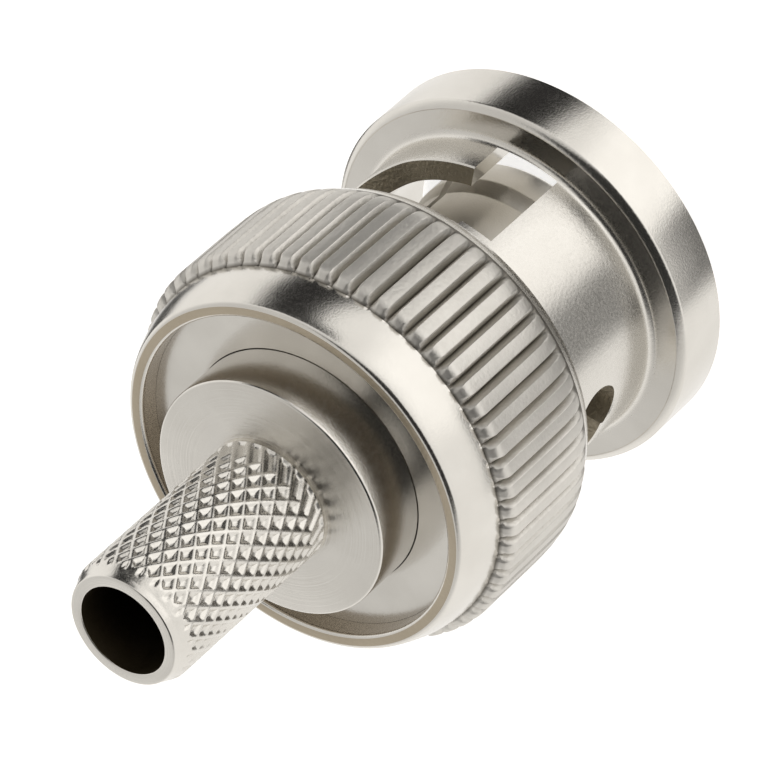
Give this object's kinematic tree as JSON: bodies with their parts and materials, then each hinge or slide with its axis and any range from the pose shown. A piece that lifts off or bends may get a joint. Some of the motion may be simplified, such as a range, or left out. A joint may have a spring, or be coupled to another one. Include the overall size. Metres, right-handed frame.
{
  "type": "BNC crimp plug",
  "caption": "Coaxial bayonet plug with a slotted, knurled coupling nut that turns on a plug body with a diamond-knurled crimp stem.",
  "frame": {"origin": "centre of the coupling's front face, on which the plug stands", "axes": "+Z along the axis from the mating face to the cable end of the crimp stem; the bayonet lead-in channels lie at -Y and +Y"},
  "size_m": [0.0148, 0.0148, 0.0236],
  "materials": {
    "nickel_coupling": "bright nickel plate on turned brass",
    "nickel_body": "nickel plate over fine turning marks",
    "nickel_contact": "bright nickel plate",
    "spring_steel": "rolled strip",
    "bronze_washer": "stamped phosphor bronze",
    "ptfe": "waxy white PTFE",
    "gold_pin": "gold plate",
    "silicone": "matt dark grey silicone rubber"
  },
  "bodies": {
    "plug": {"plug_body": "nickel_body", "outer_contact": "nickel_contact", "insulator": "ptfe", "centre_pin": "gold_pin", "face_gasket": "silicone", "wave_washer": "spring_steel"},
    "float_ring": {"thrust_washer": "bronze_washer"},
    "nut": {"coupling": "nickel_coupling", "retaining_washer": "nickel_coupling"}
  },
  "joints": [
    {"name": "coupling_float", "type": "slide", "parent": "plug", "child": "float_ring", "axis": [0, 0, 1], "range_m": [-0.0007, 0], "stiffness_N_per_m": 2000, "springref_m": 0.0003, "deforming": ["wave_washer"]},
    {"name": "coupling_turn", "type": "hinge", "parent": "float_ring", "child": "nut", "pos_m": [0, 0, 0.0124], "axis": [0, 0, 1], "continuous": true}
  ]
}
